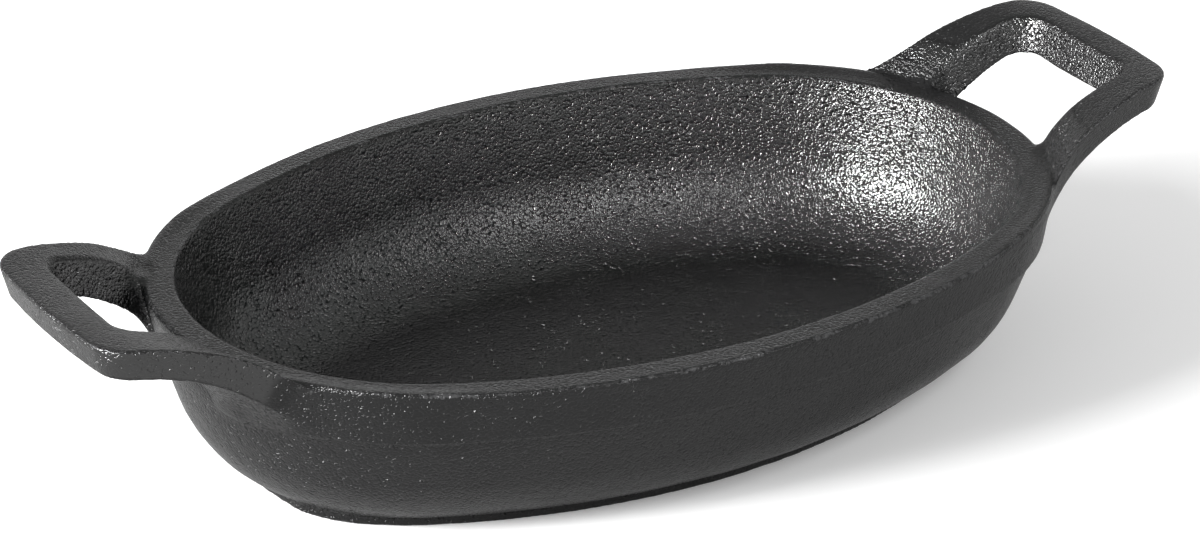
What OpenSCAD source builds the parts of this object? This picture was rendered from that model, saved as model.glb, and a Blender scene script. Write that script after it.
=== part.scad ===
// Oval cast iron pan with a raised loop handle at each end.
// The real pan is one sand casting. Each region of the casting is a module here, and the
// regions meet face to face. The origin is on the table, under the middle of the bowl, with
// the long axis along X.

/* [Rim] */
// Length of the rim over its sharp outer edge, without the handles
rim_length = 156.4; // [140:0.4:172]
// Width of the rim over its sharp outer edge
rim_width = 105.2; // [98:0.2:118]
// Height of the flat rim face above the table
rim_height = 30.4; // [27:0.1:35]
// Width of the flat rim face
rim_face = 5.2; // [4.4:0.1:6]
// Radius of the oval's two rounded ends, as a share of half the rim's width
rim_end_radius_share = 0.852; // [0.78:0.001:0.9]
// Radius of the rim's outer and inner top edges
rim_edge_radius = 0.8; // [0.4:0.1:1.2]
// Height of the band between the rim face and the parting line
band_height = 9; // [7.5:0.1:10.5]
// How far the band leans in over its height
band_draft = 1.95; // [1:0.05:2.6]
// Width of the step under the band, at the parting line
parting_step = 1.05; // [0.4:0.05:1.5]

/* [Wall and floor] */
// Lean of the outer wall below the parting line, in degrees
outer_draft = 16; // [12:0.5:19]
// Radius in which the outer wall turns in to the base
outer_turn_radius = 17; // [13:0.5:20]
// Steepest lean of that turn, where it meets the foot, in degrees
outer_turn_end = 64; // [50:0.2:66]
// Lean of the inner wall, in degrees
inner_draft = 14; // [11:0.5:16]
// Radius in which the inner wall turns in to the floor
inner_turn_radius = 12; // [9:0.5:14]
// Thickness of the cooking floor, without the foot
floor_thickness = 3.4; // [3:0.1:4.5]

/* [Foot] */
// Height of the foot that the pan stands on
foot_height = 1.6; // [1:0.1:2.2]
// Step in from the wall's lower edge to the foot
foot_step = 0.6; // [0.4:0.1:1.6]

/* [Handles] */
// How far a handle reaches out past the rim
handle_reach = 22.2; // [19:0.2:26]
// How far a handle's outer edge lies above the rim face
handle_rise = 10.2; // [8:0.1:12]
// Thickness of the handle at its outer edge
handle_thickness = 5.6; // [4.4:0.1:6.4]
// Width over both arms where the handle leaves the rim
handle_root_width = 47.2; // [43:0.2:51]
// Width over both arms at the handle's outer edge
handle_tip_width = 39.6; // [36:0.2:42]
// Radius of the handle's outer corners
handle_corner_radius = 6.4; // [4:0.1:8]
// Radius of the fillet between an arm and the rim
handle_flare_radius = 20; // [12:0.5:24]
// How far the outer edge leans in over its thickness
handle_tip_draft = 1.8; // [1:0.1:2.2]
// Width of the bar across the handle's outer end
grip_bar_width = 6.9; // [6:0.1:8]
// Width of the finger hole beside the rim
hole_root_width = 29; // [27:0.2:31]
// Width of the finger hole beside the outer bar
hole_tip_width = 26.6; // [25:0.2:28]
// Radius of the finger hole's outer corners
hole_corner_radius = 4; // [2.5:0.1:5]

/* [Hidden] */
$fn = 144;

iron = [0.20, 0.20, 0.205];
iron_dark = [0.15, 0.15, 0.155];
// Steps in one sampled arc
arc_steps = 12;
// Overrun of cutting outlines past what they cut
overrun = 2;
// Half angle of the sector that each handle is turned in, in degrees
handle_sector = 60;
// The end arcs run this many degrees into the side arcs, where they are drawn a hair thinner,
// so that the pieces of the oval always overlap and never just touch
lap_angle = 1;
lap_step = 0.01;

rim_end_radius = rim_end_radius_share * rim_width / 2;

// The oval is four tangent arcs: two ends about (+-end_centre, 0), two sides about (0, +-side_centre)
end_centre = rim_length / 2 - rim_end_radius;
side_radius = (end_centre ^ 2 + (rim_width / 2) ^ 2 - rim_end_radius ^ 2)
    / (rim_width - 2 * rim_end_radius);
side_centre = side_radius - rim_width / 2;
end_angle = atan2(side_centre, end_centre);

// Heights above the table
parting_z = rim_height - band_height;
floor_z = foot_height + floor_thickness;
rim_z = rim_height;

// Insets from the rim's outer edge, measured square to the oval
band_lean = atan2(band_draft, band_height);
outer_turn_z = foot_height + outer_turn_radius * sin(outer_turn_end);
outer_turn_inset = band_draft + parting_step
    + (parting_z - outer_turn_z + outer_turn_radius * sin(outer_draft)) * tan(outer_draft)
    + outer_turn_radius * cos(outer_draft);
wall_base_inset = outer_turn_inset - outer_turn_radius * cos(outer_turn_end);
inner_turn_z = floor_z + inner_turn_radius;
inner_turn_inset = rim_face
    + (rim_z - inner_turn_z + inner_turn_radius * sin(inner_draft)) * tan(inner_draft)
    + inner_turn_radius * cos(inner_draft);
inner_parting_inset = rim_face + band_height * tan(inner_draft);
foot_inset = wall_base_inset + foot_step;

// Radii about an end's centre
tip_radius = rim_end_radius + handle_reach;
hole_radius = tip_radius - grip_bar_width;

// Unit vector at an angle
function ray(angle) = [cos(angle), sin(angle)];

// Points of an arc from one angle to another
function arc(centre, radius, from, to) =
    [for (i = [0 : arc_steps]) centre + radius * ray(from + (to - from) * i / arc_steps)];

// Distance to go from p along the unit vector d until the origin is "reach" away
function along(p, d, reach) = sqrt((p * d) ^ 2 - p * p + reach ^ 2) - p * d;

// Points mirrored in the X axis, in reverse order, so that both lists make one closed outline
function other_half(points) =
    [for (i = [len(points) - 1 : -1 : 0]) [points[i][0], -points[i][1]]];

// Flat shape of the oval, drawn in by an inset
module oval(inset) {
    join = end_centre + (rim_end_radius - inset) * cos(end_angle);
    intersection() {
        square([2 * join, rim_width], center = true);
        translate([0, -side_centre]) circle(side_radius - inset);
        translate([0, side_centre]) circle(side_radius - inset);
    }
    for (side = [-1, 1])
        translate([side * end_centre, 0]) circle(rim_end_radius - inset - lap_step);
}

// Upright section between an outer and an inner line of [inset, height] points
module section(radius, outer, inner, step) {
    polygon(concat(
        [for (p = outer) [radius - p[0] - step, p[1]]],
        [for (p = inner) [radius - p[0] + step, p[1]]]
    ));
}

// Sweeps a section once round the oval
module round_the_oval(outer, inner) {
    for (half = [0, 180]) rotate([0, 0, half]) {
        translate([0, -side_centre, 0])
            rotate_extrude(angle = 180 - 2 * end_angle, start = end_angle)
                section(side_radius, outer, inner, 0);
        translate([end_centre, 0, 0])
            rotate_extrude(angle = 2 * (end_angle + lap_angle), start = -end_angle - lap_angle)
                section(rim_end_radius, outer, inner, lap_step);
    }
}

// Outer face of the rim band from its top edge down to the parting line
outer_edge = rim_edge_radius / tan((90 - band_lean) / 2);
band_face = concat(
    arc([outer_edge, rim_z - rim_edge_radius], rim_edge_radius, 90, 180 + band_lean),
    [[band_draft, parting_z]]
);

// Inner face of the rim band from the parting line up to its top edge
inner_edge = rim_edge_radius / tan((90 + inner_draft) / 2);
band_inner_face = concat(
    [[inner_parting_inset, parting_z]],
    arc([rim_face - inner_edge, rim_z - rim_edge_radius], rim_edge_radius, inner_draft, 90)
);

// Outer face of the wall from the parting line down to the foot
wall_face = concat(
    [[band_draft + parting_step, parting_z]],
    arc([outer_turn_inset, outer_turn_z], outer_turn_radius, 180 + outer_draft,
        180 + outer_turn_end)
);

// Inner face of the wall from the floor's edge up to the parting line
wall_inner_face = concat(
    [[inner_turn_inset, foot_height]],
    arc([inner_turn_inset, inner_turn_z], inner_turn_radius, 270, 180 + inner_draft),
    [[inner_parting_inset, parting_z]]
);

module base_foot() {
    color(iron_dark) linear_extrude(foot_height) oval(foot_inset);
}

module cooking_floor() {
    color(iron_dark) translate([0, 0, foot_height])
        linear_extrude(floor_thickness) oval(inner_turn_inset);
}

module side_wall() {
    color(iron) round_the_oval(wall_face, wall_inner_face);
}

module rim_band() {
    color(iron) round_the_oval(band_face, band_inner_face);
}

// Plan of one handle about the end's centre: arms, fillets to the rim and rounded corners
module handle_plan() {
    root = [rim_end_radius, handle_root_width / 2];
    tip = [tip_radius, handle_tip_width / 2];
    arm = (tip - root) / norm(tip - root);
    out = [-arm[1], arm[0]];
    out_angle = atan2(out[1], out[0]);
    flare_from = root + handle_flare_radius * out;
    flare_centre = flare_from + arm * along(flare_from, arm, rim_end_radius + handle_flare_radius);
    flare_angle = atan2(flare_centre[1], flare_centre[0]);
    corner_from = root - handle_corner_radius * out;
    corner_centre = corner_from + arm * along(corner_from, arm, tip_radius - handle_corner_radius);
    corner_angle = atan2(corner_centre[1], corner_centre[0]);
    half = concat(
        [(rim_end_radius - band_draft - overrun) * ray(flare_angle)],
        arc(flare_centre, handle_flare_radius, 180 + flare_angle, 180 + out_angle),
        arc(corner_centre, handle_corner_radius, out_angle, corner_angle),
        [(tip_radius + overrun) * ray(corner_angle), [tip_radius + overrun, 0]]
    );
    polygon(concat(half, other_half(half)));
}

// Plan of the finger hole about the end's centre. The rim itself closes its inner side.
module hole_plan() {
    root = [rim_end_radius, hole_root_width / 2];
    tip = [hole_radius, hole_tip_width / 2];
    side = (tip - root) / norm(tip - root);
    out = [-side[1], side[0]];
    corner_from = root - hole_corner_radius * out;
    corner_centre = corner_from + side * along(corner_from, side, hole_radius - hole_corner_radius);
    corner_angle = atan2(corner_centre[1], corner_centre[0]);
    half = concat(
        [root - (band_draft + 2 * overrun) * side],
        arc(corner_centre, hole_corner_radius, atan2(out[1], out[0]), corner_angle),
        arc([0, 0], hole_radius, corner_angle, 0)
    );
    polygon(concat(half, other_half(half)));
}

// Upright section of a handle. It springs from the whole face of the band, climbs out from
// the rim and levels off at its outer edge.
module handle_section() {
    top_radius = (handle_reach ^ 2 + handle_rise ^ 2) / (2 * handle_rise);
    top_centre_z = rim_z + handle_rise - top_radius;
    under_rise = band_height + handle_rise - handle_thickness;
    under_span = handle_reach + band_draft;
    under_radius = (under_span ^ 2 + under_rise ^ 2) / (2 * under_rise);
    under_centre_z = parting_z + under_rise - under_radius;
    root = [for (p = band_face) [rim_end_radius - lap_step - p[0], p[1]]];
    top = arc([tip_radius, top_centre_z], top_radius,
        atan2(rim_z - top_centre_z, -handle_reach), 90);
    under = arc([tip_radius, under_centre_z], under_radius,
        atan2(parting_z - under_centre_z, -under_span), acos(-handle_tip_draft / under_radius));
    polygon(concat(
        top,
        [for (i = [len(under) - 1 : -1 : 1]) under[i]],
        [for (i = [len(root) - 1 : -1 : 0]) root[i]]
    ));
}

// Handle at the +X end
module handle() {
    color(iron) translate([end_centre, 0, 0]) intersection() {
        rotate([0, 0, -handle_sector]) rotate_extrude(angle = 2 * handle_sector) handle_section();
        linear_extrude(rim_z + handle_rise + overrun) difference() {
            handle_plan();
            hole_plan();
        }
    }
}

module left_handle() {
    rotate([0, 0, 180]) handle();
}

module right_handle() {
    handle();
}

base_foot();
cooking_floor();
side_wall();
rim_band();
left_handle();
right_handle();
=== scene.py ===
import math

import bmesh
import bpy
import numpy as np
from bpy.props import FloatProperty, FloatVectorProperty, IntProperty, PointerProperty
from bpy.types import Operator, Panel, PropertyGroup
from mathutils import Matrix, Vector


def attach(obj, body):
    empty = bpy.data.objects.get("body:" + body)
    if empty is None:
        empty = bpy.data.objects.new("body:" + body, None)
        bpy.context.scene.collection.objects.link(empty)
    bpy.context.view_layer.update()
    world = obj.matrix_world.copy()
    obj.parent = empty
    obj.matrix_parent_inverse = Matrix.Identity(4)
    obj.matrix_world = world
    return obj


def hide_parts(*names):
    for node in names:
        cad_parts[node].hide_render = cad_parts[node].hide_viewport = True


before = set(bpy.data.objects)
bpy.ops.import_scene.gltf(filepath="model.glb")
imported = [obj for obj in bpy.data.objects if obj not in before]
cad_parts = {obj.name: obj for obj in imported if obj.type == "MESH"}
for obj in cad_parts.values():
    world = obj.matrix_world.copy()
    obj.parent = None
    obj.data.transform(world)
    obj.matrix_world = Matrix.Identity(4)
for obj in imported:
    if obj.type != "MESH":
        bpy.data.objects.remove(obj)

bl_info = {
    "name": "Oval Cast Iron Pan",
    "version": (1, 0, 0),
    "blender": (4, 5, 0),
    "location": "3D Viewport > Sidebar > Pan",
    "description": "Builds an oval cast iron pan, its iron finish and a plain studio",
    "category": "Add Mesh",
}

MM = 0.001
# The sky is white at the horizon and this bright overhead
SKY_OVERHEAD = 0.4
# Light that the studio floor shows of its own, to the camera and in reflections
FLOOR_GLOW = 0.15

# Regions of the casting, where the far half of the wall and of the band counts FAR higher
FOOT, FLOOR, WALL, BAND, RIGHT, LEFT = 1, 2, 3, 4, 5, 6
FAR = 4
# Each region's piece, and the nodes that it stands for
PIECES = {
    FOOT: ("cast_base_foot", ["base_foot"]),
    FLOOR: ("cast_cooking_floor", ["cooking_floor"]),
    WALL: ("cast_side_wall_near", ["side_wall"]),
    WALL + FAR: ("cast_side_wall_far", ["side_wall"]),
    BAND: ("cast_rim_band_near", ["rim_band"]),
    BAND + FAR: ("cast_rim_band_far", ["rim_band"]),
    LEFT: ("cast_left_handle", ["left_handle"]),
    RIGHT: ("cast_right_handle", ["right_handle"]),
}


# Shape

class PanShape(PropertyGroup):
    """Sizes of the casting, in metres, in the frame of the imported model"""

    rim_length: FloatProperty(
        name="Rim length", description="Length of the rim over its outer edge",
        default=0.1563, unit="LENGTH")
    rim_width: FloatProperty(
        name="Rim width", description="Width of the rim over its outer edge",
        default=0.1051, unit="LENGTH")
    rim_height: FloatProperty(
        name="Rim height", description="Height of the rim face above the table",
        default=0.0304, unit="LENGTH")
    rim_end_radius: FloatProperty(
        name="End radius", description="Radius of the oval's rounded ends",
        default=0.0448, unit="LENGTH")
    rim_face: FloatProperty(
        name="Rim face", description="Width of the flat rim face",
        default=0.0052, unit="LENGTH")
    band_height: FloatProperty(
        name="Band height", description="Height of the band down to the parting line",
        default=0.009, unit="LENGTH")
    handle_reach: FloatProperty(
        name="Handle reach", description="How far a handle reaches past the rim",
        default=0.0222, unit="LENGTH")
    handle_rise: FloatProperty(
        name="Handle rise", description="Height of the handle's outer edge above the rim",
        default=0.0102, unit="LENGTH")
    handle_thickness: FloatProperty(
        name="Handle thickness", description="Thickness of the handle at its outer edge",
        default=0.0056, unit="LENGTH")
    cell: FloatProperty(
        name="Cell", description="Spacing of the lattice that the skin is drawn on",
        default=0.00042, unit="LENGTH")


class PanFinish(PropertyGroup):
    """Colour and grain of the seasoned iron"""

    iron_color: FloatVectorProperty(
        name="Iron", description="Colour of the seasoned iron",
        default=(0.006, 0.006, 0.0062), size=3, subtype="COLOR", min=0, max=1)
    bare_color: FloatVectorProperty(
        name="Bare iron", description="Colour where the seasoning has worn off an edge",
        default=(0.09, 0.09, 0.092), size=3, subtype="COLOR", min=0, max=1)
    oiled_color: FloatVectorProperty(
        name="Oiled iron", description="Colour of the burnished, oiled inside",
        default=(0.11, 0.11, 0.11), size=3, subtype="COLOR", min=0, max=1)
    paper_color: FloatVectorProperty(
        name="Paper", description="Colour of the studio floor",
        default=(0.34, 0.34, 0.34), size=3, subtype="COLOR", min=0, max=1)
    wear: FloatProperty(
        name="Wear", description="Share of the edges that is worn",
        default=0.45, min=0, max=1, subtype="FACTOR")
    grain_size: FloatProperty(
        name="Grain size", description="Size of one grain of the cast skin",
        default=0.00048, unit="LENGTH", precision=6)
    grain_height: FloatProperty(
        name="Grain height", description="Height of the grain",
        default=0.000118, unit="LENGTH", precision=6)
    pebble_size: FloatProperty(
        name="Pebble size", description="Size of the larger pebbles of the cast skin",
        default=0.0021, unit="LENGTH")
    pebble_height: FloatProperty(
        name="Pebble height", description="Height of the larger pebbles",
        default=0.00004, unit="LENGTH", precision=6)
    swell_size: FloatProperty(
        name="Swell size", description="Size of the slow swells of the mould",
        default=0.008, unit="LENGTH")
    swell_height: FloatProperty(
        name="Swell height", description="Height of the slow swells",
        default=0.00016, unit="LENGTH", precision=6)
    seed: IntProperty(
        name="Seed", description="Which pattern of grain is drawn", default=7, min=0)


def arc(cx, cy, radius, start, end, steps=10):
    """Points of an arc, with its angles in degrees"""
    angles = np.radians(np.linspace(start, end, steps + 1))
    return [(cx + radius * math.cos(a), cy + radius * math.sin(a)) for a in angles]


def rounded(corners, steps=10):
    """A closed outline from its corners, each given as x, y and the radius that rounds it"""
    points = []
    for n, (x, y, radius) in enumerate(corners):
        here = np.array([x, y], float)
        before = np.array(corners[n - 1][:2]) - here
        after = np.array(corners[(n + 1) % len(corners)][:2]) - here
        before, after = before / np.linalg.norm(before), after / np.linalg.norm(after)
        if radius == 0:
            points.append((x, y))
            continue
        half = math.acos(np.clip(before @ after, -1, 1)) / 2
        middle = before + after
        centre = here + middle / np.linalg.norm(middle) * radius / math.sin(half)
        start = here + before * radius / math.tan(half) - centre
        end = here + after * radius / math.tan(half) - centre
        first = math.atan2(start[1], start[0])
        sweep = (math.atan2(end[1], end[0]) - first + math.pi) % (2 * math.pi) - math.pi
        points += arc(centre[0], centre[1], radius, math.degrees(first),
                      math.degrees(first + sweep), steps)
    return points


def polygon_distance(points, x, y):
    """Signed distance from x, y to a closed outline, negative inside it"""
    nearest = np.full(np.broadcast(x, y).shape, 1e9)
    inside = np.zeros(nearest.shape, bool)
    for (ax, ay), (bx, by) in zip(points, points[1:] + points[:1]):
        dx, dy = bx - ax, by - ay
        length = dx * dx + dy * dy
        if length < 1e-12:
            continue
        along = np.clip(((x - ax) * dx + (y - ay) * dy) / length, 0, 1)
        gap = (x - ax - along * dx) ** 2 + (y - ay - along * dy) ** 2
        nearest = np.minimum(nearest, gap)
        crosses = (ay > y) != (by > y)
        if dy != 0:
            inside ^= crosses & (x < ax + dx * (y - ay) / dy)
    return np.where(inside, -1, 1) * np.sqrt(nearest)


def meet(a, b, radius):
    """Where both solids are, with the edge between them rounded"""
    corner = np.hypot(np.maximum(a + radius, 0), np.maximum(b + radius, 0))
    return np.minimum(np.maximum(a, b), -radius) + corner


def join(a, b, radius):
    """Where either solid is, with a fillet between them"""
    corner = np.hypot(np.maximum(radius - a, 0), np.maximum(radius - b, 0))
    return np.maximum(np.minimum(a, b), radius) - corner


def ease(value, low, high):
    """Rises smoothly from 0 at low to 1 at high"""
    s = np.clip((value - low) / (high - low), 0, 1)
    return s * s * (3 - 2 * s)


class Casting:
    """The pan as a signed distance, in millimetres and degrees"""

    # Section of the bowl
    parting_step = 1.05
    band_draft = 1.95
    outer_draft = 16
    outer_turn = 17
    outer_turn_end = 65
    inner_draft = 14
    inner_turn = 17
    outer_round = 0.6
    inner_round = 0.7
    floor_top = 5.0
    foot_height = 1.6
    foot_step = 0.2
    foot_round = 0.4
    foot_chamfer = 0.15
    # Towards the base the wall stands out by this at the oval's ends, and in by it at the sides
    base_shift = 1.1
    # The foot stands out by this between the ends and the sides, and the band by this at the ends
    foot_corners = 1.0
    band_shift = 1.15
    # Handles, and the lift of the rim beside them
    root_width = 47.2
    tip_width = 39.6
    tip_bow = 160
    corner_radius = 7
    flare_radius = 21
    arm_crown = 0.6
    arm_draft = 0.28
    slab_round = 0.4
    shoulder_rise = 0.5
    # Each finger hole's corners as X from the end's centre, Y and radius, and its walls' slope
    holes = {
        -1: ([(36, -11.8, 0), (59.5, -11.5, 3), (58.9, 15.6, 4), (44, 18.6, 0), (36, 18.9, 0)],
             0.42),
        1: ([(36, -13.3, 0), (61.3, -13.4, 3.2), (61.3, 14.9, 6), (44, 16.1, 0), (36, 16.8, 0)],
            0.36)}

    def __init__(self, shape):
        self.half_length = shape.rim_length / MM / 2
        self.half_width = shape.rim_width / MM / 2
        self.rim_z = shape.rim_height / MM
        self.face = shape.rim_face / MM
        self.end_radius = shape.rim_end_radius / MM
        self.parting_z = self.rim_z - shape.band_height / MM
        self.reach = shape.handle_reach / MM
        self.rise = shape.handle_rise / MM
        self.thick = shape.handle_thickness / MM
        self.cell = shape.cell / MM
        self.end_x = self.half_length - self.end_radius
        self.side_radius = (
            (self.end_x ** 2 + self.half_width ** 2 - self.end_radius ** 2)
            / (2 * (self.half_width - self.end_radius)))
        self.side_y = self.side_radius - self.half_width
        self.turn = math.atan2(self.side_y, self.end_x)
        inner = math.radians(self.inner_draft)
        self.inner_turn_z = self.floor_top + self.inner_turn
        self.floor_inset = (
            self.face
            + (self.rim_z - self.inner_turn_z + self.inner_turn * math.sin(inner)) * math.tan(inner)
            + self.inner_turn * math.cos(inner))

    def inset(self, x, y):
        """Distance inwards from the rim's outer edge, and the share of it that runs along X"""
        x, y = np.abs(x), np.abs(y)
        at_end = (x - self.end_x) * math.sin(self.turn) > y * math.cos(self.turn)
        end = np.hypot(x - self.end_x, y)
        side = np.hypot(x, y + self.side_y)
        inset = np.where(at_end, self.end_radius - end, self.side_radius - side)
        lengthwise = np.where(at_end, (x - self.end_x) / np.maximum(end, 1e-6), x / side)
        return inset, lengthwise ** 2

    def wall_outline(self, step=True):
        """Section of the whole bowl as inset and height, with or without its parting step"""
        lean = math.degrees(math.atan2(self.band_draft, self.rim_z - self.parting_z))
        r, q, chamfer = self.outer_round, self.inner_round, self.foot_chamfer
        outer, turn_end = math.radians(self.outer_draft), math.radians(self.outer_turn_end)
        turn_z = self.foot_height + self.outer_turn * math.sin(turn_end)
        turn_u = (
            self.band_draft + self.parting_step
            + (self.parting_z - turn_z + self.outer_turn * math.sin(outer)) * math.tan(outer)
            + self.outer_turn * math.cos(outer))
        foot = turn_u - self.outer_turn * math.cos(turn_end) + self.foot_step
        outer_edge = r / math.tan(math.radians((90 - lean) / 2))
        inner_edge = q / math.tan(math.radians((90 + self.inner_draft) / 2))
        past_middle = 80
        parting = [(self.band_draft - 0.04, self.parting_z + 0.15),
                   (self.band_draft + 0.2, self.parting_z - 0.1)] if step else []
        return (
            arc(outer_edge, self.rim_z - r, r, 90, 180 + lean) + parting
            + [(self.band_draft + self.parting_step, self.parting_z - 0.25)]
            + arc(turn_u, turn_z, self.outer_turn, 180 + self.outer_draft,
                  180 + self.outer_turn_end, 24)
            + [(foot - chamfer, self.foot_height), (foot, self.foot_height - chamfer)]
            + arc(foot + self.foot_round, self.foot_round, self.foot_round, 180, 270, 4)
            + [(past_middle, 0), (past_middle, self.floor_top)]
            + arc(self.floor_inset, self.inner_turn_z, self.inner_turn,
                  270, 180 + self.inner_draft, 24)
            + arc(self.face - inner_edge, self.rim_z - q, q, self.inner_draft, 90))

    def handle_outline(self):
        """Plan of a handle about the end's centre"""
        def leave(p, d, reach):
            """How far along d from p a circle of this radius about the origin is met"""
            return math.sqrt((p @ d) ** 2 - p @ p + reach ** 2) - p @ d

        overlap = 4
        rim, tip_x = self.end_radius, self.end_radius + self.reach
        root, tip = np.array([rim, self.root_width / 2]), np.array([tip_x, self.tip_width / 2])
        d = (tip - root) / np.linalg.norm(tip - root)
        out = np.array([-d[1], d[0]])
        out_angle = math.degrees(math.atan2(out[1], out[0]))
        p = root + self.flare_radius * out
        flare = p + d * leave(p, d, rim + self.flare_radius)
        flare_angle = math.degrees(math.atan2(flare[1], flare[0]))
        bow = np.array([tip_x - self.tip_bow, 0])
        p = root - self.corner_radius * out
        corner = p + d * leave(p - bow, d, self.tip_bow - self.corner_radius)
        corner_angle = math.degrees(math.atan2(corner[1], corner[0] - bow[0]))
        half = (
            arc(0, 0, rim - overlap, 0, flare_angle, 6)
            + arc(flare[0], flare[1], self.flare_radius, 180 + flare_angle, 180 + out_angle, 14)
            + arc(corner[0], corner[1], self.corner_radius, out_angle, corner_angle, 12)
            + arc(bow[0], 0, self.tip_bow, corner_angle, 0, 8))
        return half + [(x, -y) for x, y in half[::-1]]

    def bowl_layers(self, x, y):
        """A function that gives the bowl's distance at a height, over a quarter of its plan"""
        inset, lengthwise = self.inset(x, y)
        section, plain_section = self.wall_outline(), self.wall_outline(step=False)
        steps = np.arange(-32, 72, 0.1)
        lean = math.tan(math.radians(self.outer_draft))
        band_height = self.rim_z - self.parting_z
        corners = self.foot_corners * ease(lengthwise, 0.3, 0.8) * (1 - ease(lengthwise, 0.86, 1))
        # Where the rim lifts beside a handle, and where the parting step shows, not under it
        angle = np.degrees(np.arctan2(y, x - self.end_x))
        lift = ease(angle, 26, 34) * (1 - ease(angle, 52, 80)) * ease(-inset, -3.6, -0.6)
        stepped = ease(angle, 22, 42)

        def row_at(outline, z):
            return polygon_distance(outline, steps, np.full_like(steps, z))

        def layer(z):
            low = 1 - ease(z, self.foot_height, self.parting_z)
            foot = 1 - ease(z, self.foot_height - 0.1, self.foot_height + 0.9)
            band = np.clip((self.rim_z - z) / band_height, 0, 1) * ease(z, 6, 18)
            if z > self.parting_z:
                outer = self.band_draft * (self.rim_z - z) / band_height
            else:
                outer = self.band_draft + self.parting_step + (self.parting_z - z) * lean
            skin = 1 - ease(inset - outer - 0.8, 0, 2.4)
            row = row_at(section, z)
            # The outer skin alone is shifted, up to the middle of the wall
            middle = steps[row < 0].mean() if (row < 0).any() else 0
            deep = inset + (1 - ease(inset, middle - 1, middle + 1)) * (
                self.base_shift * (2 * lengthwise - 1) * low + corners * foot
                + self.band_shift * lengthwise * band * skin)
            bowl = np.interp(deep, steps, row)
            if z > self.rim_z - 2:
                lifted = row_at(section, z - self.shoulder_rise)
                bowl = (1 - lift) * bowl + lift * np.interp(deep, steps, lifted)
            elif z > self.parting_z - 2:
                plain = row_at(plain_section, z)
                bowl = stepped * bowl + (1 - stepped) * np.interp(deep, steps, plain)
            return bowl

        return layer

    def handle_layers(self, x, y):
        """A function that gives each handle's distance and fillet at a height, and where they are

        The plan is that of the right end, about the end's centre, and the left one is its mirror.
        """
        beyond = np.hypot(x, y) - self.end_radius
        top_r = (self.reach ** 2 + self.rise ** 2) / (2 * self.rise)
        top_z = self.rim_z + self.rise - top_r
        drop = self.rim_z - self.parting_z + self.rise - self.thick
        span = self.reach + self.band_draft
        under_r = (span ** 2 + drop ** 2) / (2 * drop)
        under_z = self.parting_z + drop - under_r
        along = np.minimum(beyond, self.reach) - self.reach
        crown = self.arm_crown * ease(beyond, -1, 3.5) * (1 - ease(beyond, 4.5, 14))
        crest = top_z + np.sqrt(np.maximum(top_r ** 2 - along ** 2, 0)) + crown
        plan_gap = polygon_distance(self.handle_outline(), x, y)
        inside = ease(-plan_gap, 0.3, 3.0)
        holes = {}
        for side, (corners, slope) in self.holes.items():
            gap = polygon_distance(rounded(corners), x, y)
            holes[side] = gap, 1 - ease(np.abs(gap), 0.6, 4), slope

        def layer(z):
            top = np.hypot(along, z - top_z) - top_r - 0.8 * crown
            under = under_r - np.hypot(along, z - under_z)
            slab = meet(top, under, self.slab_round)
            edge = plan_gap + self.arm_draft * np.maximum(crest - z, -2)
            soft = 0.75 - 0.4 * ease(crest - z, 1, 4)
            blank = meet(slab, edge, soft)
            for side, (gap, near_hole, slope) in holes.items():
                opening = gap + slope * np.maximum(crest - z, 0)
                fillet = 0.05 + inside * (0.75 + 1.2 * (1 - ease(z, 26, 29.5)) + near_hole)
                yield side, meet(blank, -opening, soft), fillet

        return layer, beyond > 0

    def lattice(self):
        """Samples the distance on a lattice, with a label for the region that each point is in"""
        h = self.cell
        margin = 1.5
        nx = math.ceil((self.half_length + self.reach + margin) / h)
        ny = math.ceil((self.half_width + margin) / h)
        xs = (np.arange(nx) + 0.5) * h
        ys = (np.arange(ny) + 0.5) * h
        zs = np.arange(-2, math.ceil((self.rim_z + self.rise + margin) / h)) * h + 0.37 * h
        x, y = np.meshgrid(xs, ys, indexing="ij")
        inset = self.inset(x, y)[0]
        bowl_at = self.bowl_layers(x, y)
        first = int(self.end_x / h)
        handles_at, past_rim = self.handle_layers(*np.meshgrid(
            xs[first:] - self.end_x, np.concatenate([-ys[::-1], ys]), indexing="ij"))
        ends = {1: slice(nx + first, None), -1: slice(nx - first - 1, None, -1)}

        field = np.empty((2 * nx, 2 * ny, len(zs)), np.float32)
        label = np.zeros(field.shape, np.int8)
        for k, z in enumerate(zs):
            bowl = bowl_at(z)
            if z < self.foot_height:
                region = np.where(inset > 0, FOOT, WALL)
            elif z < self.parting_z:
                in_floor = (inset > self.floor_inset) & (z < self.floor_top)
                region = np.where(in_floor, FLOOR, WALL)
            else:
                region = np.full(inset.shape, BAND)
            solid = np.concatenate([bowl[::-1], bowl])
            solid = np.concatenate([solid[:, ::-1], solid], axis=1)
            region = np.concatenate([region[::-1], region])
            far = np.where(region >= WALL, region + FAR, region)
            region = np.concatenate([region[:, ::-1], far], axis=1)
            if z > self.parting_z - 3:
                for side, handle, fillet in handles_at(z):
                    part = ends[side]
                    solid[part] = join(solid[part], handle, fillet)
                    region[part] = np.where(past_rim, RIGHT if side > 0 else LEFT, region[part])
            field[:, :, k] = solid
            label[:, :, k] = np.where(solid < 0, region, 0)
        origin = np.array([-(nx - 0.5) * h, -(ny - 0.5) * h, zs[0]])
        return field, label, origin


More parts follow.
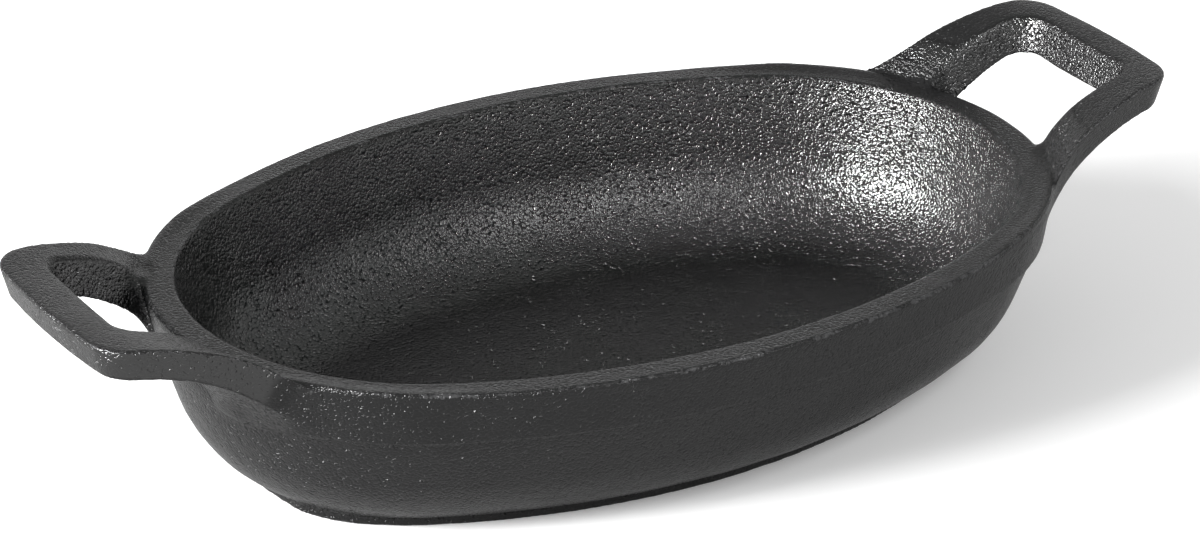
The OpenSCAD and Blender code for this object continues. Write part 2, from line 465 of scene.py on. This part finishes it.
def net(field, label, origin, cell):
    """Vertices on the skin, one to a cell, and the faces of each region

    Gives the vertices, which of them lie on the skin, how sharply the skin bends there, and for
    each region its faces and which of them are on the outside.
    """
    shape = np.array(field.shape) - 1
    faces, outside = {}, {}
    for axis in range(3):
        a, b = [slice(None)] * 3, [slice(None)] * 3
        a[axis], b[axis] = slice(0, -1), slice(1, None)
        here, ahead = label[tuple(a)], label[tuple(b)]
        where = np.argwhere(here != ahead)
        first, second = here[tuple(where.T)], ahead[tuple(where.T)]
        u, v = [(1, 2), (2, 0), (0, 1)][axis]
        cells = []
        for du, dv in ((-1, -1), (0, -1), (0, 0), (-1, 0)):
            c = where.copy()
            c[:, u] += du
            c[:, v] += dv
            cells.append((c[:, 0] * shape[1] + c[:, 1]) * shape[2] + c[:, 2])
        quads = np.stack(cells, 1)
        for region in np.unique(np.concatenate([first, second])):
            if region == 0:
                continue
            mine = first == region
            theirs = second == region
            faces.setdefault(region, []).append(
                np.concatenate([quads[mine], quads[theirs][:, ::-1]]))
            outside.setdefault(region, []).append(
                np.concatenate([second[mine] == 0, first[theirs] == 0]))
    faces, outside = ({k: np.concatenate(v) for k, v in d.items()} for d in (faces, outside))
    used = np.unique(np.concatenate([f.ravel() for f in faces.values()]))
    i = used // (shape[1] * shape[2])
    j = used // shape[2] % shape[1]
    k = used % shape[2]
    corners = [(p, q, r) for p in (0, 1) for q in (0, 1) for r in (0, 1)]
    values, labels = (
        np.stack([samples[i + p, j + q, k + r] for p, q, r in corners], 1).reshape(-1, 2, 2, 2)
        for samples in (field, label))
    skin = (values < 0).any(axis=(1, 2, 3)) & (values >= 0).any(axis=(1, 2, 3))
    # The middle of the places where the cell's edges cross the skin or a seam between regions
    total = np.zeros((len(used), 3))
    count = np.zeros(len(used))
    for axis in range(3):
        for p, q in ((0, 0), (0, 1), (1, 0), (1, 1)):
            index = [slice(None), p, q]
            index.insert(axis + 1, 0)
            low, label_low = values[tuple(index)], labels[tuple(index)]
            index[axis + 1] = 1
            high, label_high = values[tuple(index)], labels[tuple(index)]
            crosses = np.where(skin, (low < 0) != (high < 0), label_low != label_high)
            point = np.empty((len(used), 3))
            others = [n for n in range(3) if n != axis]
            point[:, axis] = np.where(skin, low / np.where(low == high, 1, low - high), 0.5)
            point[:, others[0]] = p
            point[:, others[1]] = q
            total += np.where(crosses[:, None], point, 0)
            count += crosses
    local = total / np.maximum(count, 1)[:, None]
    # Then each point of the skin is pulled onto it
    for _ in range(3):
        a, b, c = local[:, 0], local[:, 1], local[:, 2]
        wa, wb, wc = np.stack([1 - a, a], 1), np.stack([1 - b, b], 1), np.stack([1 - c, c], 1)
        slope = np.array([-1.0, 1.0])
        value = np.einsum("npqr,np,nq,nr->n", values, wa, wb, wc)
        grad = np.stack([
            np.einsum("npqr,p,nq,nr->n", values, slope, wb, wc),
            np.einsum("npqr,np,q,nr->n", values, wa, slope, wc),
            np.einsum("npqr,np,nq,r->n", values, wa, wb, slope)], 1)
        size = np.maximum((grad ** 2).sum(1), 1e-9)
        move = np.clip(-value[:, None] * grad / size[:, None], -0.4, 0.4)
        local = np.where(skin[:, None], np.clip(local + move, 0, 1), local)
    place = origin + cell * (np.stack([i, j, k], 1) + local)
    bend = np.zeros(len(used))
    for p, q, r in corners:
        a, b, c = i + p, j + q, k + r
        around = (field[a - 1, b, c] + field[a + 1, b, c] + field[a, b - 1, c]
                  + field[a, b + 1, c] + field[a, b, c - 1] + field[a, b, c + 1])
        bend += (around - 6 * field[a, b, c]) / (len(corners) * cell * cell)
    lookup = {region: np.searchsorted(used, f) for region, f in faces.items()}
    return place, skin, bend, lookup, outside


def skin_normals(place, faces, outside):
    """Normals of the open skin, shared by the regions that meet at a vertex"""
    total = np.zeros_like(place)
    for region, quads in faces.items():
        quads = quads[outside[region]]
        p = place[quads]
        normal = np.cross(p[:, 2] - p[:, 0], p[:, 3] - p[:, 1])
        for n in range(4):
            for axis in range(3):
                total[:, axis] += np.bincount(quads[:, n], normal[:, axis], len(place))
    size = np.linalg.norm(total, axis=1)
    return total / np.maximum(size, 1e-9)[:, None], size > 1e-9


def seam_triangles(quads, skin, place, normal, start):
    """Splits the faces between regions so that none of them shows through the skin"""
    on_skin = skin[quads]
    count = on_skin.sum(1)
    turn = np.argmin(on_skin, axis=1)
    rolled = quads[np.arange(len(quads))[:, None], (turn[:, None] + np.arange(4)) % 4]
    plain = rolled[count < 4]
    triangles = [plain[:, [0, 1, 2]], plain[:, [0, 2, 3]]]
    rim = rolled[count == 4]
    buried = place[rim].mean(1) - 0.2 * normal[rim].mean(1)
    middle = start + np.arange(len(rim))
    for n in range(4):
        triangles.append(np.stack([rim[:, n], rim[:, (n + 1) % 4], middle], 1))
    return np.concatenate(triangles), buried


# Finish

def new_group(name, kind, inputs, outputs):
    """An empty node group with named sockets, and its input and output nodes"""
    tree = bpy.data.node_groups.new(name, kind)
    for title, socket, default in inputs:
        item = tree.interface.new_socket(title, in_out="INPUT", socket_type=socket)
        if default is not None:
            item.default_value = default
    for title, socket in outputs:
        tree.interface.new_socket(title, in_out="OUTPUT", socket_type=socket)
    return tree, tree.nodes.new("NodeGroupInput"), tree.nodes.new("NodeGroupOutput")


class Wiring:
    """Short hands for the nodes that a tree is made of"""

    def __init__(self, tree):
        self.tree = tree

    def add(self, kind, **settings):
        node = self.tree.nodes.new(kind)
        for key, value in settings.items():
            setattr(node, key, value)
        return node

    def feed(self, socket, value):
        if isinstance(value, bpy.types.NodeSocket):
            self.tree.links.new(value, socket)
        elif value is not None:
            socket.default_value = value

    def math(self, operation, a, b=None, c=None, clamp=False):
        node = self.add("ShaderNodeMath", operation=operation, use_clamp=clamp)
        for n, value in enumerate((a, b, c)):
            self.feed(node.inputs[n], value)
        return node.outputs[0]

    def scale(self, vector, factor):
        node = self.add("ShaderNodeVectorMath", operation="SCALE")
        self.feed(node.inputs[0], vector)
        self.feed(node.inputs["Scale"], factor)
        return node.outputs[0]

    def noise(self, vector, scale=1.0, detail=0.0, seed=None, output=0):
        node = self.add("ShaderNodeTexNoise", noise_dimensions="3D" if seed is None else "4D")
        self.feed(node.inputs["Vector"], vector)
        if seed is not None:
            self.feed(node.inputs["W"], seed)
        self.feed(node.inputs["Scale"], scale)
        self.feed(node.inputs["Detail"], detail)
        return node.outputs[output]

    def mix(self, factor, a, b):
        """Colour between a and b, each a socket or a colour"""
        node = self.add("ShaderNodeMix", data_type="RGBA")
        self.feed(node.inputs["Factor"], factor)
        for title, value in (("A", a), ("B", b)):
            is_socket = isinstance(value, bpy.types.NodeSocket)
            self.feed(node.inputs[title], value if is_socket else (*value, 1))
        return node.outputs["Result"]

    def group(self, tree, **values):
        """A node group fed with these values, with its sockets' names written with underscores"""
        node = self.add("ShaderNodeGroup", node_tree=tree)
        for title, value in values.items():
            self.feed(node.inputs[title.replace("_", " ")], value)
        return node


def cast_swell():
    """Geometry nodes that press the mould's pebbles and swells into the skin"""
    tree, start, end = new_group("Cast swell", "GeometryNodeTree", [
        ("Geometry", "NodeSocketGeometry", None),
        ("Pebble Size", "NodeSocketFloat", 0.002), ("Pebble Height", "NodeSocketFloat", 0.0001),
        ("Swell Size", "NodeSocketFloat", 0.008), ("Swell Height", "NodeSocketFloat", 0.0002),
        ("Seed", "NodeSocketInt", 0), ("Material", "NodeSocketMaterial", None),
    ], [("Geometry", "NodeSocketGeometry")])
    w = Wiring(tree)
    position = w.add("GeometryNodeInputPosition").outputs[0]
    inward = w.add("GeometryNodeInputNamedAttribute", data_type="FLOAT_VECTOR")
    inward.inputs["Name"].default_value = "inward"
    dressed = w.add("GeometryNodeInputNamedAttribute", data_type="FLOAT")
    dressed.inputs["Name"].default_value = "dressed"
    pebble = w.noise(w.scale(position, w.math("DIVIDE", 1, start.outputs["Pebble Size"])),
                     seed=start.outputs["Seed"])
    pebble = w.math("SMOOTH_MIN", w.math("MULTIPLY", w.math("SUBTRACT", pebble, 0.25), 2), 1, 0.2)
    calm = w.math("MULTIPLY_ADD", dressed.outputs[0], -0.6, 1)
    pebble = w.math("MULTIPLY", w.math("MULTIPLY", pebble, calm), start.outputs["Pebble Height"])
    swell = w.noise(w.scale(position, w.math("DIVIDE", 1, start.outputs["Swell Size"])),
                    seed=start.outputs["Seed"])
    swell = w.math("MULTIPLY", swell, start.outputs["Swell Height"])
    depth = w.math("MAXIMUM", w.math("ADD", pebble, swell), 0)
    move = w.add("GeometryNodeSetPosition")
    w.feed(move.inputs["Geometry"], start.outputs["Geometry"])
    w.feed(move.inputs["Offset"], w.scale(inward.outputs[0], depth))
    real = w.add("GeometryNodeRealizeInstances")
    w.feed(real.inputs[0], move.outputs[0])
    finish = w.add("GeometryNodeSetMaterial")
    w.feed(finish.inputs["Geometry"], real.outputs[0])
    w.feed(finish.inputs["Material"], start.outputs["Material"])
    w.feed(end.inputs[0], finish.outputs[0])
    return tree


def cast_grain():
    """Height of the pebbled grain of a sand-cast skin, and its slow change from place to place"""
    tree, start, end = new_group("Cast grain", "ShaderNodeTree", [
        ("Vector", "NodeSocketVector", None), ("Grain Size", "NodeSocketFloat", 0.0006),
        ("Dressed", "NodeSocketFloat", 0.0),
    ], [("Height", "NodeSocketFloat"), ("Tone", "NodeSocketFloat")])
    w = Wiring(tree)
    vector, dressed = start.outputs["Vector"], start.outputs["Dressed"]
    place = w.scale(vector, w.math("DIVIDE", 1, start.outputs["Grain Size"]))
    tone = w.noise(vector, scale=90, detail=3.0)
    bent = w.add("ShaderNodeVectorMath", operation="MULTIPLY_ADD")
    w.feed(bent.inputs[0], w.noise(place, scale=0.9, output="Color"))
    bent.inputs[1].default_value = (0.8, 0.8, 0.8)
    w.feed(bent.inputs[2], place)
    grains = w.add("ShaderNodeTexVoronoi", feature="F1")
    w.feed(grains.inputs["Vector"], bent.outputs[0])
    grains.inputs["Scale"].default_value = 1
    # Raised domes with pits between them, shallow wrinkles over both, and a fine tooth
    domes = w.math("POWER", grains.outputs["Distance"], 4)
    worms = w.math("MULTIPLY_ADD", w.noise(place, scale=0.9, detail=1.0), 2, -1)
    worms = w.math("ABSOLUTE", worms)
    height = w.math("MULTIPLY_ADD", domes, -2.2, w.math("MULTIPLY", worms, 0.7))
    height = w.math("MULTIPLY", height, w.math("MULTIPLY_ADD", tone, 1.0, 0.5))
    height = w.math("MULTIPLY", height, w.math("MULTIPLY_ADD", dressed, -0.3, 1))
    height = w.math("MULTIPLY_ADD", w.noise(place, scale=2.2, detail=1.0), 0.16, height)
    w.feed(end.inputs["Height"], height)
    w.feed(end.inputs["Tone"], tone)
    return tree


def edge_wear():
    """Mask of the worn spots on the edges, from the bend of the skin"""
    tree, start, end = new_group("Edge wear", "ShaderNodeTree", [
        ("Vector", "NodeSocketVector", None), ("Bend", "NodeSocketFloat", 0.0),
        ("Amount", "NodeSocketFloat", 0.5),
    ], [("Mask", "NodeSocketFloat")])
    w = Wiring(tree)
    patches = w.noise(start.outputs["Vector"], scale=160, detail=2.0)
    dots = w.noise(start.outputs["Vector"], scale=1100, detail=1.0)
    # Bare where the bend of an edge and the spots together pass a threshold
    both = w.math("MULTIPLY_ADD", patches, 0.55, w.math("MULTIPLY", dots, 0.45))
    edge = w.math("MULTIPLY", start.outputs["Bend"], start.outputs["Amount"])
    mask = w.math("SUBTRACT", w.math("ADD", edge, both), 0.92)
    w.feed(end.inputs[0], w.math("MULTIPLY", mask, 7, clamp=True))
    return tree


def new_material(name):
    """A material, its wiring and its shader"""
    material = bpy.data.materials.new(name)
    material.use_nodes = True
    return material, Wiring(material.node_tree), material.node_tree.nodes["Principled BSDF"]


def iron_material(finish):
    """Seasoned iron, bare where an edge is worn and like dark metal where the oil has built up"""
    material, w, shader = new_material("seasoned_iron")
    where = w.add("ShaderNodeTexCoord").outputs["Object"]
    bend, dressed, oil = (
        w.add("ShaderNodeAttribute", attribute_name=name).outputs["Fac"]
        for name in ("bend", "dressed", "oiled"))
    grain = w.group(cast_grain(), Vector=where, Grain_Size=finish.grain_size, Dressed=dressed)
    wear = w.group(edge_wear(), Vector=where, Bend=bend, Amount=finish.wear).outputs["Mask"]

    dark, light = ([c * share for c in finish.iron_color] for share in (0.6, 1.4))
    color = w.mix(grain.outputs["Tone"], dark, light)
    color = w.mix(w.math("POWER", oil, 2), color, finish.oiled_color)
    w.feed(shader.inputs["Base Color"], w.mix(wear, color, finish.bare_color))
    rough = w.math("MULTIPLY_ADD", grain.outputs["Tone"], 0.14, 0.12)
    w.feed(shader.inputs["Roughness"], w.math("MULTIPLY_ADD", dressed, 0.06, rough))
    # The gloss turns metallic ahead of the colour, so that no pale line runs round the inside
    oily = w.math("MULTIPLY", oil, 1.5, clamp=True)
    w.feed(shader.inputs["Metallic"], w.math("MAXIMUM", w.math("MULTIPLY", wear, 0.7), oily))
    shader.inputs["Specular IOR Level"].default_value = 0.46
    bump = w.add("ShaderNodeBump")
    bump.inputs["Strength"].default_value = 1
    bump.inputs["Distance"].default_value = finish.grain_height
    w.feed(bump.inputs["Height"], grain.outputs["Height"])
    w.feed(shader.inputs["Normal"], bump.outputs[0])
    return material


def paper_material(finish):
    """The studio floor, white to the camera and grey to the light that it sends to the pan"""
    material, w, shader = new_material("studio_paper")
    path = w.add("ShaderNodeLightPath").outputs
    color = w.mix(path["Is Camera Ray"], finish.paper_color, (1, 1, 1))
    w.feed(shader.inputs["Base Color"], color)
    seen = w.math("MAXIMUM", path["Is Camera Ray"], path["Is Glossy Ray"])
    seen = w.math("MAXIMUM", seen, path["Is Transmission Ray"])
    shader.inputs["Emission Color"].default_value = (1, 1, 1, 1)
    w.feed(shader.inputs["Emission Strength"], w.math("MULTIPLY", seen, FLOOR_GLOW))
    shader.inputs["Roughness"].default_value = 0.95
    shader.inputs["Specular IOR Level"].default_value = 0
    return material


class Skin:
    """The casting's skin, worked out once and shared by the operators that draw its pieces"""

    def __init__(self, shape):
        casting = Casting(shape)
        field, label, origin = casting.lattice()
        self.place, self.on_skin, bend, self.faces, self.outside = net(
            field, label, origin, casting.cell)
        self.normal, shown = skin_normals(self.place, self.faces, self.outside)
        x, y, z = self.place.T
        inset, slope = casting.inset(x, y)[0], self.normal[:, 2]
        beyond = np.hypot(np.abs(x) - casting.end_x, y) - casting.end_radius
        angle = np.degrees(np.arctan2(np.abs(y), np.abs(x) - casting.end_x))
        # The grain is calmer on the rim face and at the handles' roots
        rim = ease(slope, 0.7, 0.92) * ease(z, casting.rim_z - 1.8, casting.rim_z - 0.8)
        root = (0.7 * (1 - ease(angle, 24, 40))
                * ease(beyond, -5, -3.5) * (1 - ease(beyond, -0.6, 0.2))
                * ease(z, casting.parting_z - 3, casting.parting_z) * (1 - ease(z, 25.5, 27.5)))
        # The oil has built up inside the bowl, on the handles' sides and on the right one's arms
        bowl = ease(slope, 0.05, 0.2) * ease(inset, 4.6, 5.6)
        flat = np.where(x > 0, 0.95, 0.7)
        loops = (0.92 * ease(-inset, 0.5, 3)
                 * (1 - ease(slope, flat - 0.15, flat)) * ease(slope, -0.6, -0.3))
        self.marks = {
            "bend": np.clip((bend - 0.3) / 1.1, 0, 1) * shown,
            "dressed": np.maximum(rim, root) * shown,
            "oiled": np.maximum(bowl, loops) * shown,
            "inward": -self.normal * shown[:, None]}


# The skins that have been worked out, by their sizes, and the vertices of the skin in each piece
skins = {}
drawn = {}


def skin_of(shape):
    """The skin for these sizes"""
    sizes = tuple(getattr(shape, name) for name in PanShape.__annotations__)
    if sizes not in skins:
        skins.clear()
        skins[sizes] = Skin(shape)
    return skins[sizes]


def draw_pieces(context, regions):
    """Draws the pieces for these regions of the casting, with the pebbled skin as a modifier"""
    skin = skin_of(context.scene.pan_shape)
    finish = context.scene.pan_finish
    iron = bpy.data.materials.get("seasoned_iron") or iron_material(finish)
    swell = bpy.data.node_groups.get("Cast swell") or cast_swell()
    sockets = {item.name: item.identifier for item in swell.interface.items_tree
               if item.in_out == "INPUT"}
    for region in regions:
        name = PIECES[region][0]
        quads, outside = skin.faces[region], skin.outside[region]
        shell = quads[outside]
        seams, buried = seam_triangles(
            quads[~outside], skin.on_skin, skin.place, skin.normal, len(skin.place))
        used, local = np.unique(
            np.concatenate([shell.ravel(), seams.ravel()]), return_inverse=True)
        polygons = local[:shell.size].reshape(-1, 4).tolist()
        polygons += local[shell.size:].reshape(-1, 3).tolist()
        own = used[used < len(skin.place)]
        points = np.concatenate([skin.place, buried])[used]
        mesh = bpy.data.meshes.new(name)
        mesh.from_pydata((points * MM).tolist(), [], polygons)
        mesh.polygons.foreach_set("use_smooth", np.ones(len(polygons), bool))
        for title, values in skin.marks.items():
            values = values[own]
            values = np.concatenate([values, np.zeros((len(used) - len(own), *values.shape[1:]))])
            flat = values.ndim == 1
            layer = mesh.attributes.new(title, "FLOAT" if flat else "FLOAT_VECTOR", "POINT")
            layer.data.foreach_set("value" if flat else "vector", values.ravel())
        piece = bpy.data.objects.new(name, mesh)
        context.scene.collection.objects.link(piece)
        modifier = piece.modifiers.new("Cast swell", "NODES")
        modifier.node_group = swell
        for title, value in (
                ("Pebble Size", finish.pebble_size), ("Pebble Height", finish.pebble_height),
                ("Swell Size", finish.swell_size), ("Swell Height", finish.swell_height),
                ("Seed", finish.seed), ("Material", iron)):
            modifier[sockets[title]] = value
        drawn[name] = own


class PAN_OT_floor(Operator):
    """Draw the cooking floor and the foot under it"""

    bl_idname = "pan.floor"
    bl_label = "Floor and foot"

    def execute(self, context):
        draw_pieces(context, (FOOT, FLOOR))
        return {"FINISHED"}


class PAN_OT_wall(Operator):
    """Draw the wall from the foot up to the parting line, as a near and a far half"""

    bl_idname = "pan.wall"
    bl_label = "Wall"

    def execute(self, context):
        draw_pieces(context, (WALL, WALL + FAR))
        return {"FINISHED"}


class PAN_OT_rim(Operator):
    """Draw the rim band above the parting line, as a near and a far half"""

    bl_idname = "pan.rim"
    bl_label = "Rim"

    def execute(self, context):
        draw_pieces(context, (BAND, BAND + FAR))
        return {"FINISHED"}


class PAN_OT_handles(Operator):
    """Draw the loop handle at each end"""

    bl_idname = "pan.handles"
    bl_label = "Handles"

    def execute(self, context):
        draw_pieces(context, (RIGHT, LEFT))
        return {"FINISHED"}


class PAN_OT_skin(Operator):
    """Fix the pebbled skin in every piece, shade it as one casting and place it in the frame"""

    bl_idname = "pan.skin"
    bl_label = "Finish the skin"

    def execute(self, context):
        skin = skin_of(context.scene.pan_shape)
        place = skin.place.copy()
        context.view_layer.update()
        graph = context.evaluated_depsgraph_get()
        for name, own in drawn.items():
            piece = bpy.data.objects[name]
            plain = bpy.data.meshes.new_from_object(piece.evaluated_get(graph))
            piece.modifiers.clear()
            piece.data = plain
            plain.name = name
            plain.attributes.remove(plain.attributes["inward"])
            points = np.empty(len(plain.vertices) * 3)
            plain.vertices.foreach_get("co", points)
            place[own] = points.reshape(-1, 3)[:len(own)] / MM
        normal, shown = skin_normals(place, skin.faces, skin.outside)
        normal[~shown] = (0, 0, 1)
        for name, nodes in PIECES.values():
            piece = bpy.data.objects[name]
            vectors = np.tile((0.0, 0.0, 1.0), (len(piece.data.vertices), 1))
            vectors[:len(drawn[name])] = normal[drawn[name]]
            piece.data.normals_split_custom_set_from_vertices(vectors.tolist())
            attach(piece, "root")
            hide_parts(*nodes)
            piece.data.calc_loop_triangles()
            print(name, len(piece.data.loop_triangles), "triangles")
        return {"FINISHED"}


def toward(azimuth, elevation):
    """Unit vector at an azimuth, in degrees from -Y towards +X, and at an elevation"""
    a, e = math.radians(azimuth), math.radians(elevation)
    return Vector((math.sin(a) * math.cos(e), -math.cos(a) * math.cos(e), math.sin(e)))


class PAN_OT_studio(Operator):
    """Set up the floor, the lights and the camera"""

    bl_idname = "pan.studio"
    bl_label = "Set up the studio"

    def execute(self, context):
        scene = context.scene
        data = bpy.data.cameras.new("camera")
        camera = bpy.data.objects.new("camera", data)
        scene.collection.objects.link(camera)
        scene.camera = camera
        target, distance, roll = Vector((21.25, 35.45, 0)) * MM, 0.81755, math.radians(0.492)
        back = toward(-32.486, 26.089)
        right = (-back).cross(Vector((0, 0, 1))).normalized()
        up = right.cross(-back)
        tilted = right * math.cos(roll) + up * math.sin(roll)
        upright = -right * math.sin(roll) + up * math.cos(roll)
        turn = Matrix((tilted, upright, back)).transposed()
        camera.matrix_world = Matrix.Translation(target + back * distance) @ turn.to_4x4()
        data.sensor_width = 36
        data.lens = 143.745
        data.clip_start, data.clip_end = 0.05, 20

        # The floor ends under the lamps, and the white horizon goes on behind it
        bm = bmesh.new()
        bmesh.ops.create_grid(bm, x_segments=4, y_segments=4, size=1.15)
        mesh = bpy.data.meshes.new("floor")
        bm.to_mesh(mesh)
        bm.free()
        floor = bpy.data.objects.new("floor", mesh)
        scene.collection.objects.link(floor)
        mesh.materials.append(paper_material(scene.pan_finish))

        lamp_distance, lamp_size = 1.2, 0.5
        for name, azimuth, elevation, power in (("key", -94, 23, 38), ("fill", 18, 46, 3.5)):
            lamp = bpy.data.lights.new(name, "AREA")
            lamp.size = lamp_size
            lamp.energy = power
            obj = bpy.data.objects.new(name, lamp)
            way = toward(azimuth, elevation)
            obj.location = way * lamp_distance
            obj.rotation_mode = "QUATERNION"
            obj.rotation_quaternion = way.to_track_quat("Z", "Y")
            scene.collection.objects.link(obj)

        world = bpy.data.worlds.new("studio")
        scene.world = world
        world.use_nodes = True
        w = Wiring(world.node_tree)
        # The sky fades from the horizon's white as the sine of its elevation grows
        parts = w.add("ShaderNodeSeparateXYZ")
        w.feed(parts.inputs[0], w.add("ShaderNodeTexCoord").outputs["Generated"])
        fade = w.add("ShaderNodeMapRange", interpolation_type="SMOOTHSTEP")
        w.feed(fade.inputs["Value"], parts.outputs["Z"])
        for title, value in (("From Min", 0.15), ("From Max", 0.38), ("To Min", 1),
                             ("To Max", SKY_OVERHEAD)):
            fade.inputs[title].default_value = value
        sky = world.node_tree.nodes["Background"]
        sky.inputs["Color"].default_value = (1, 1, 1, 1)
        w.feed(sky.inputs["Strength"], fade.outputs[0])
        scene.view_settings.view_transform = "Standard"
        return {"FINISHED"}


class PAN_PT_panel(Panel):
    """The pan's sizes and steps"""

    bl_idname = "PAN_PT_panel"
    bl_label = "Oval Pan"
    bl_space_type = "VIEW_3D"
    bl_region_type = "UI"
    bl_category = "Pan"

    def draw(self, context):
        layout = self.layout
        scene = context.scene
        for kind, values in ((PanShape, scene.pan_shape), (PanFinish, scene.pan_finish)):
            for name in kind.__annotations__:
                layout.prop(values, name)
        for step in STEPS:
            layout.operator("pan." + step)


CLASSES = (PanShape, PanFinish, PAN_OT_floor, PAN_OT_wall, PAN_OT_rim, PAN_OT_handles,
           PAN_OT_skin, PAN_OT_studio, PAN_PT_panel)
STEPS = ("floor", "wall", "rim", "handles", "skin", "studio")


def register():
    for cls in CLASSES:
        bpy.utils.register_class(cls)
    bpy.types.Scene.pan_shape = PointerProperty(type=PanShape)
    bpy.types.Scene.pan_finish = PointerProperty(type=PanFinish)


def unregister():
    del bpy.types.Scene.pan_finish
    del bpy.types.Scene.pan_shape
    for cls in reversed(CLASSES):
        bpy.utils.unregister_class(cls)


def main():
    register()
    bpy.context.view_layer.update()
    for step in STEPS:
        getattr(bpy.ops.pan, step)()


if __name__ == "__main__":
    main()
